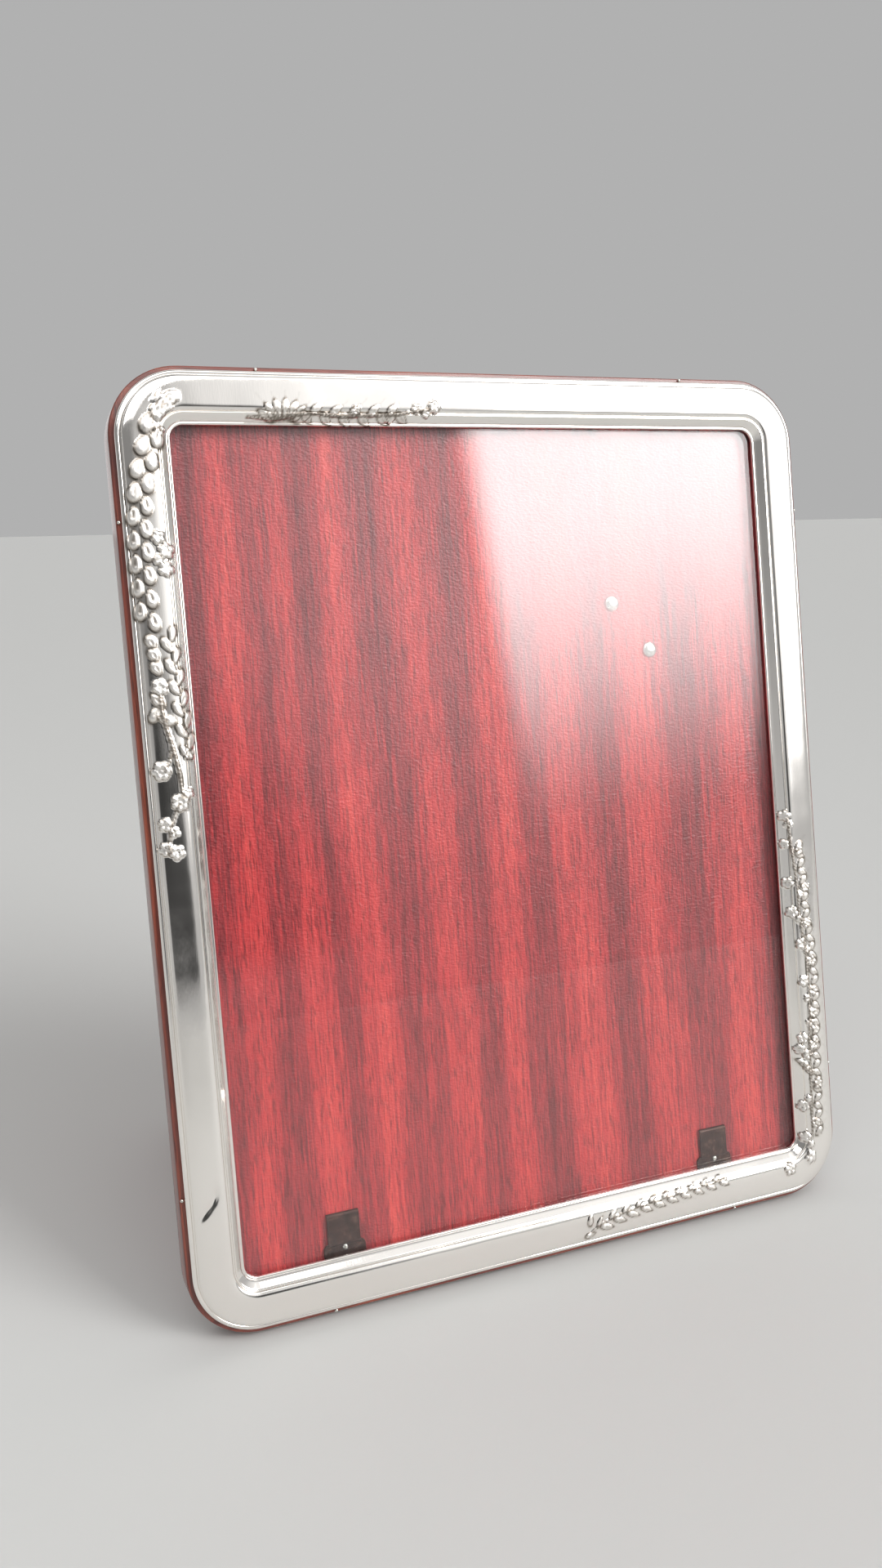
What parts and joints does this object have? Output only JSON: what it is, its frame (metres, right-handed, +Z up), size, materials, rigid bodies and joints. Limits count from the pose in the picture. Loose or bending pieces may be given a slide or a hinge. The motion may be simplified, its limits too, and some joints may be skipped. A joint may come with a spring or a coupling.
{
  "type": "easel photo frame",
  "caption": "Silver-fronted easel photo frame with a lacquered wood body, glass, a tip-out back and a folding diagonal strut.",
  "frame": {"origin": "on the table, under the middle of the object's box as it stands", "axes": "+Z up, the picture faces -Y and leans back 12.2 degrees towards +Y, +X to the viewer's right"},
  "size_m": [0.2252, 0.1332, 0.2716],
  "materials": {
    "silver": "polished sterling silver sheet, lightly worn",
    "lacquered_wood": "dark red-brown mahogany, gloss lacquer",
    "glass": "clear float glass",
    "panel_veneer": "red mahogany ribbon stripe, satin, finely pebbled",
    "bronzed_steel": "bronzed spring steel, satin",
    "bright_steel": "bright nickel-plated steel",
    "hinge_brass": "satin brass, slightly aged"
  },
  "bodies": {
    "frame": {"silver_front": "silver", "wood_frame": "lacquered_wood", "glass_pane": "glass", "brad_1": "bright_steel", "brad_2": "bright_steel", "brad_3": "bright_steel", "brad_4": "bright_steel", "brad_5": "bright_steel", "brad_6": "bright_steel", "brad_7": "bright_steel", "brad_8": "bright_steel"},
    "panel": {"back_panel": "panel_veneer", "tongue_left": "bronzed_steel", "tongue_right": "bronzed_steel", "tongue_rivet_left": "bright_steel", "tongue_rivet_right": "bright_steel", "catch_spring": "bronzed_steel", "catch_pin": "bright_steel", "hinge_bracket": "hinge_brass", "hinge_pin": "bright_steel", "hinge_rivet_upper": "bright_steel", "hinge_rivet_lower": "bright_steel"},
    "strut": {"strut": "lacquered_wood", "strut_shoe": "hinge_brass", "strut_rivet_left": "bright_steel", "strut_rivet_right": "bright_steel"}
  },
  "joints": [
    {"name": "panel_tilt", "type": "hinge", "parent": "frame", "child": "panel", "pos_m": [0, -0.0531, 0.01212], "axis": [-1, 0, 0], "range_deg": [0, 25]},
    {"name": "strut_fold", "type": "hinge", "parent": "panel", "child": "strut", "pos_m": [0.03991, -0.00882, 0.18519], "axis": [-0.6334, 0.1635, 0.7564], "range_deg": [0, 29]}
  ]
}
